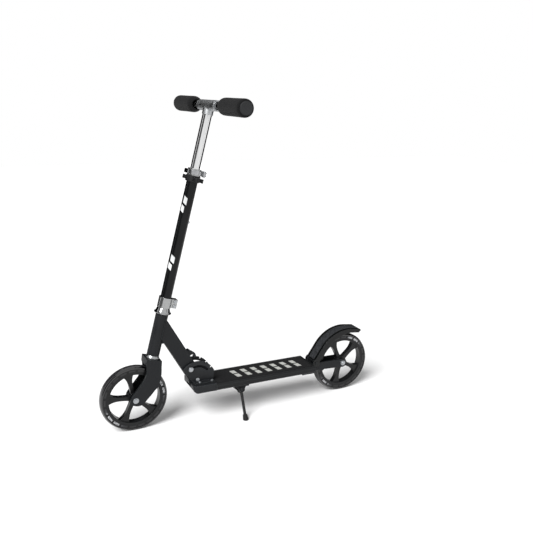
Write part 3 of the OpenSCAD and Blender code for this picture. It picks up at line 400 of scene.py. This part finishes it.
frame_coat = powder_coat("satin_powder_coat", "#111214", "#303336")
plate_coat = powder_coat("coated_steel_plate", "#101113", "#4c4f52", roughness=0.4, edge=1.0)
nose_coat = powder_coat("coated_casting", "#101113", "#4c4f52", roughness=0.42, peel=4.0, depth=0.12)
stand_coat = powder_coat("coated_stand", "#0b0b0c", "#2c2e30", roughness=0.4)
# Each flash's lower and upper height up the axis in mm, then its middle and half width in radians
FLASHES = [(564.0, 609.0, 0.62, 0.36), (396.0, 438.0, 0.72, 0.40)]
column_enamel = gloss_paint("gloss_enamel", "#050506", FLASHES)
stem_chrome = bright_metal("drawn_chrome", "#f3f4f5", 0.05, 1.0, 2, strength=0.004, smudge=0.03,
                           rim="#101010")
bar_chrome = bright_metal("bar_chrome", "#e0e1e2", 0.08, 1.0, 1, strength=0.004, smudge=0.03, rim="#202020")
headset_chrome = bright_metal("turned_chrome", "#b4b5b6", 0.1, 1.2, 0, strength=0.02, rim="#202020")
tee_metal = bright_metal("brushed_aluminium", "#c6c8ca", 0.34, 1.4, 1, strength=0.12)
clamp_metal = bright_metal("machined_aluminium", "#b2b3b3", 0.22, 1.4, 0, strength=0.1)
lever_metal = bright_metal("polished_alloy", "#b4b5b7", 0.16, 1.6, 0, strength=0.08)
bolt_metal = bright_metal("zinc_plate", "#b5b8bb", 0.28, 1.2, 1, strength=0.08)
bearing_metal = bright_metal("ground_steel", "#b9bbbe", 0.25, 1.0, 1)
race_metal = bright_metal("satin_aluminium", "#a9abac", 0.25, 1.2, 0)
dark_bolt = powder_coat("blackened_steel", "#101112", "#3a3c3e", roughness=0.35, edge=0.8)
foam = foam_rubber()
urethane = tyre_rubber()
nylon = moulded_plastic("moulded_nylon", "#0a0a0b", "#141517", roughness=0.34)
holder_plastic = moulded_plastic("moulded_clip", "#0a0a0b", "#1c1d1e", roughness=0.4)
plug_plastic = moulded_plastic("moulded_plug", "#1c1d1e", "#27282a", roughness=0.6)
shoe_rubber = moulded_plastic("moulded_rubber", "#0a0a0a", "#151515", roughness=0.75)
brake_rubber = moulded_plastic("brake_block_rubber", "#1c1c1c", "#2b2b2b", roughness=0.8)
# each foil's painted glint sectors round its axle: middle and half angle in degrees
front_foil = reflector_foil("front_foil", FRONT_AXLE, [(-40.0, 22.0), (163.0, 22.0)])
rear_foil = reflector_foil("rear_foil", REAR_AXLE, [(121.0, 20.0), (-46.0, 14.0)])
grip_sheet = grit_sheet()
deck_finish = extruded_deck()
fender_finish = pressed_fender()

FINISH = {
    "deck": deck_finish, "griptape": grip_sheet, "nose_block": nose_coat,
    "hinge_plate_left": plate_coat, "hinge_plate_right": plate_coat,
    "plate_screws": bolt_metal, "fold_pivot_bolt": bolt_metal, "rear_fork": frame_coat,
    "rear_fork_screws": bolt_metal, "rear_axle": bolt_metal,
    "kickstand_bracket": stand_coat, "kickstand_bolt": dark_bolt, "kickstand_leg": stand_coat,
    "kickstand_foot": shoe_rubber, "fender": fender_finish, "fender_pin": dark_bolt,
    "fender_brake_pad": brake_rubber, "down_tube": frame_coat, "head_tube": frame_coat,
    "lower_bearing": bearing_metal, "upper_bearing": bearing_metal, "lock_bolt": bolt_metal,
    "latch_hook": plate_coat, "latch_pin": dark_bolt, "fork": frame_coat, "steerer": frame_coat,
    "fork_race": race_metal, "headset_ring": headset_chrome, "headset_spacer": headset_chrome,
    "lower_clamp": clamp_metal, "clamp_bolts": bolt_metal, "steering_tube": column_enamel,
    "upper_clamp": clamp_metal, "clamp_skewer": bolt_metal, "clamp_lever": lever_metal,
    "bar_holder": holder_plastic, "front_axle": bolt_metal, "inner_stem": stem_chrome,
    "tee_piece": tee_metal, "bar_left": bar_chrome, "bar_right": bar_chrome,
    "grip_left": foam, "grip_right": foam, "grip_plug_left": plug_plastic, "grip_plug_right": plug_plastic,
    "front_tyre": urethane, "rear_tyre": urethane, "front_wheel_core": nylon, "rear_wheel_core": nylon,
    "front_bearings": bearing_metal, "rear_bearings": bearing_metal,
    "front_spacers": bearing_metal, "rear_spacers": bearing_metal,
    "front_reflectors": front_foil, "rear_reflectors": rear_foil,
}
for node_name, finish in FINISH.items():
    slots = NODES[node_name].material_slots
    for material_slot in slots:
        material_slot.material = finish
    if not slots:
        NODES[node_name].data.materials.append(finish)


# ---- added pieces ----

def pick(*pieces):
    """Selects only these pieces, with the first one active."""
    bpy.ops.object.select_all(action="DESELECT")
    for piece in pieces:
        piece.select_set(True)
    bpy.context.view_layer.objects.active = pieces[0]


def start_edit(piece, name):
    """Names a piece and opens it for editing with all of it selected."""
    piece.name = piece.data.name = name
    bpy.ops.object.mode_set(mode="EDIT")
    bpy.ops.mesh.select_all(action="SELECT")


def end_edit():
    """Closes seams, turns the faces outwards and leaves edit mode."""
    bpy.ops.mesh.select_all(action="SELECT")
    bpy.ops.mesh.remove_doubles(threshold=0.02 * MM)
    bpy.ops.mesh.normals_make_consistent(inside=False)
    bpy.ops.object.mode_set(mode="OBJECT")


def turned(name, rings, sides=48, hollow=False):
    """A piece turned on its Z axis: a circle is extruded and sized from ring to ring, each a
    radius and a height in mm. A hollow one ends on the ring that it began with."""
    bpy.ops.object.select_all(action="DESELECT")
    radius, height = rings[0]
    bpy.ops.mesh.primitive_circle_add(vertices=sides, radius=radius * MM, location=(0, 0, 0))
    piece = bpy.context.object
    start_edit(piece, name)
    bpy.ops.transform.translate(value=(0, 0, height * MM))
    for (radius, height), (next_radius, next_height) in zip(rings, rings[1:]):
        rise = (0, 0, (next_height - height) * MM)
        bpy.ops.mesh.extrude_region_move(TRANSFORM_OT_translate={"value": rise})
        ratio = next_radius / radius
        bpy.ops.transform.resize(value=(ratio, ratio, 1.0))
    bpy.ops.mesh.select_all(action="SELECT")
    if hollow:
        bpy.ops.mesh.remove_doubles(threshold=0.02 * MM)
    else:
        bpy.ops.mesh.fill_holes(sides=0)
    end_edit()
    return piece


def apply_modifier(piece, kind, name, **settings):
    """Adds a modifier and applies it."""
    pick(piece)
    modifier = piece.modifiers.new(name, kind)
    for key, value in settings.items():
        setattr(modifier, key, value)
    bpy.ops.object.modifier_apply(modifier=name)


def smooth(piece, degrees):
    """Shades a piece smooth except where its faces meet more sharply than this."""
    pick(piece)
    bpy.ops.object.shade_smooth_by_angle(angle=math.radians(degrees))


def fit(piece, where, body, finish):
    """Moves a piece's mesh to its place and gives it its body, slot and finish."""
    piece.data.transform(where)
    piece.data.materials.clear()
    piece.data.materials.append(finish)
    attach(piece, body)


def facing(point, direction):
    """The place whose Z axis points along direction from point."""
    return Matrix.Translation(point) @ Vector(direction).to_track_quat("Z", "Y").to_matrix().to_4x4()


# The weld runs between these heights up the steering axis, in mm
SEAM = (190.0, 256.0)

# A sleeve's outline, radius and height in mm, from its neck to its rounded end and back
# along the bore, for a sleeve of this length
SLEEVE_LENGTH = 148.0
SLEEVE = [(11.4, 1.6), (13.2, 0.4), (15.4, 0.3), (16.5, 1.4), (17.2, 3.4), (19.2, 7.4), (21.8, 12.0),
          (23.0, 16.5), (23.35, 26.0), (23.1, 62.0), (23.15, 100.0), (23.4, 132.0), (23.4, 141.5),
          (22.6, 144.8), (20.8, 147.0), (18.2, 147.8), (15.5, 147.9), (11.4, 147.9), (11.4, 74.0),
          (11.4, 1.6)]


def foam_grip(side, word):
    """A foam sleeve pushed on to the bar, a little crowned at both ends and gripped thin between."""
    low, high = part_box("grip_" + word)
    inner = min(abs(low.y), abs(high.y))
    length = abs(high.y - low.y) / MM
    rings = [(r, z * length / SLEEVE_LENGTH) for r, z in SLEEVE]
    piece = turned("foam_grip_" + word, rings, hollow=True)
    apply_modifier(piece, "SUBSURF", "soften", levels=1, render_levels=1)
    smooth(piece, 60)
    middle = Vector(((low.x + high.x) / 2, side * inner, (low.z + high.z) / 2))
    fit(piece, facing(middle, (0, side, 0)), word + "_bar", foam)
    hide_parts("grip_" + word)


def washer(name, point, side, bore, rim, body):
    """A plain washer under a bolt's head, with broken edges."""
    rings = [(bore, 0.0), (rim - 0.3, 0.0), (rim, 0.3), (rim, 1.0), (rim - 0.4, 1.4), (bore, 1.4),
             (bore, 0.0)]
    piece = turned(name, rings, sides=40, hollow=True)
    smooth(piece, 30)
    fit(piece, facing(point, (0, side, 0)), body, bolt_metal)


def snap_button():
    """The sprung button that stops the inner tube, domed where it shows through the column."""
    height, column_r = 538.0, 15.9
    rings = [(4.4, -0.6), (4.4, 0.5), (3.6, 0.7), (3.1, 0.8), (3.0, 1.9), (2.4, 2.7), (1.3, 3.1),
             (0.4, 3.2)]
    piece = turned("stop_button", rings, sides=28)
    smooth(piece, 50)
    bearing = math.radians(150)
    out = AHEAD * math.cos(bearing) + Vector((0, math.sin(bearing), 0))
    fit(piece, facing(up_column(height) + out * column_r * MM, out), "steering",
        bolt_metal)


def weld_seam():
    """The welder's bead along both sides of the joint of down tube and head tube: one flattened
    drop of metal, copied every 2 mm so that the bead is rippled like a stack of coins."""
    low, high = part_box("head_tube")
    head_r = (high.y - low.y) / 2
    half = 16.5 * MM
    back = -math.sqrt(head_r ** 2 - half ** 2)
    start, end = SEAM
    pitch = 2.0
    bpy.ops.object.select_all(action="DESELECT")
    bpy.ops.mesh.primitive_ico_sphere_add(subdivisions=2, radius=2.3 * MM, location=(0, 0, 0))
    drop = bpy.context.object
    start_edit(drop, "weld_drop")
    bpy.ops.transform.resize(value=(0.62, 1.0, 0.8))
    end_edit()
    drops = [drop]
    for side in (1, -1):
        for step in range(int((end - start) / pitch)):
            copy = drop.copy()
            copy.data = drop.data.copy()
            bpy.context.scene.collection.objects.link(copy)
            wander = 0.25 * math.sin(step * 1.7 + side)
            point = up_column(start + pitch * step, back / MM + wander, side * half / MM)
            copy.data.transform(Matrix.Translation(point) @ Matrix.Rotation(-LEAN, 4, "Y"))
            drops.append(copy)
    bpy.data.objects.remove(drops.pop(0))
    pick(*drops)
    bpy.ops.object.join()
    seam = bpy.context.object
    seam.name = seam.data.name = "weld_seam"
    smooth(seam, 60)
    fit(seam, Matrix.Identity(4), "front_frame", frame_coat)


foam_grip(1, "left")
foam_grip(-1, "right")
WASHER_BORE, WASHER_RIM = 4.2, 8.6
# Each end's name, axle, body, and the distance of its washers from the centre plane in mm
AXLES = [("front", FRONT_AXLE, "steering", 27.0), ("rear", REAR_AXLE, "deck_frame", 23.5)]
for side, word in ((1, "left"), (-1, "right")):
    for end, axle, body, offset in AXLES:
        point = axle + Vector((0, side * offset * MM, 0))
        washer(end + "_washer_" + word, point, side, WASHER_BORE, WASHER_RIM, body)
snap_button()
weld_seam()


# ---- camera, floor and light ----

# Each flag's name, bearing in degrees, width in metres and shade
FLAGS = [("flag_ahead", -48.0, 1.9, "#030303"), ("flag_behind", 190.0, 1.9, "#030303"),
         ("flag_far", 251.0, 2.4, "#101010"), ("flag_line", 133.0, 0.2, "#030303"),
         ("flag_soft", 12.0, 1.5, "#6a6a6a")]


def make_camera():
    """The camera, by its lens, its place in mm and its three axes."""
    data = bpy.data.cameras.new("camera")
    data.sensor_width = 36.0
    data.lens = 44.9
    data.shift_x = -0.0178
    data.shift_y = 0.0143
    data.clip_start, data.clip_end = 0.05, 50.0
    camera = bpy.data.objects.new("camera", data)
    right = Vector((-0.89420, 0.44695, 0.02539))
    up = Vector((-0.09637, -0.24758, 0.96406))
    back = Vector((0.43717, 0.85962, 0.26446))
    turn = Matrix((right, up, back)).transposed().to_4x4()
    camera.matrix_world = Matrix.Translation(Vector((798.9, 1775.8, 975.7)) * MM) @ turn
    bpy.context.scene.collection.objects.link(camera)
    bpy.context.scene.camera = camera


def make_floor():
    """A pale matt floor."""
    bpy.ops.object.select_all(action="DESELECT")
    bpy.ops.mesh.primitive_plane_add(size=14, location=(0, 0, 0))
    floor = bpy.context.object
    floor.name = "floor"
    material, _, _ = new_material("white_floor", "#fafafa", 0.0, 0.9, Specular_IOR_Level=0.1)
    floor.data.materials.append(material)


def make_flags():
    """Black and grey flags stand round the set, where only gloss sees them, and draw the dark
    lines that chrome has in a studio. Each has its bearing, width and shade."""
    for name, bearing, width, shade in FLAGS:
        card, _, _ = new_material(name + "_card", shade, 0.0, 1.0, Specular_IOR_Level=0.0)
        a = math.radians(bearing)
        bpy.ops.object.select_all(action="DESELECT")
        bpy.ops.mesh.primitive_plane_add(size=1, location=(1.9 * math.cos(a), 1.9 * math.sin(a), 1.2),
                                         rotation=(math.radians(90), 0, a + math.radians(90)))
        flag = bpy.context.object
        flag.name = name
        flag.scale = (width, 2.4, 1.0)
        flag.data.materials.append(card)
        flag.visible_camera = flag.visible_diffuse = flag.visible_shadow = False


def make_light():
    """A white studio that lights softly, and one broad key light from ahead and the left."""
    world = bpy.data.worlds.new("studio")
    bpy.context.scene.world = world
    world.use_nodes = True
    tree = world.node_tree
    seen = add_node(tree, "LightPath")
    dome = add_node(tree, "MapRange", {"Value": seen.outputs["Is Diffuse Ray"], "To Min": 1.0,
                                       "To Max": 0.36})
    background = tree.nodes["Background"]
    background.inputs["Color"].default_value = (1, 1, 1, 1)
    tree.links.new(dome.outputs[0], background.inputs["Strength"])
    sun = bpy.data.lights.new("soft_key", "SUN")
    sun.energy = 3.9
    sun.angle = math.radians(32)
    lamp = bpy.data.objects.new("soft_key", sun)
    lamp.rotation_euler = Vector((0.85, 0.6, 1.0)).to_track_quat("Z", "Y").to_euler()
    bpy.context.scene.collection.objects.link(lamp)
    bpy.context.scene.view_settings.view_transform = "Standard"


make_camera()
make_floor()
make_flags()
make_light()
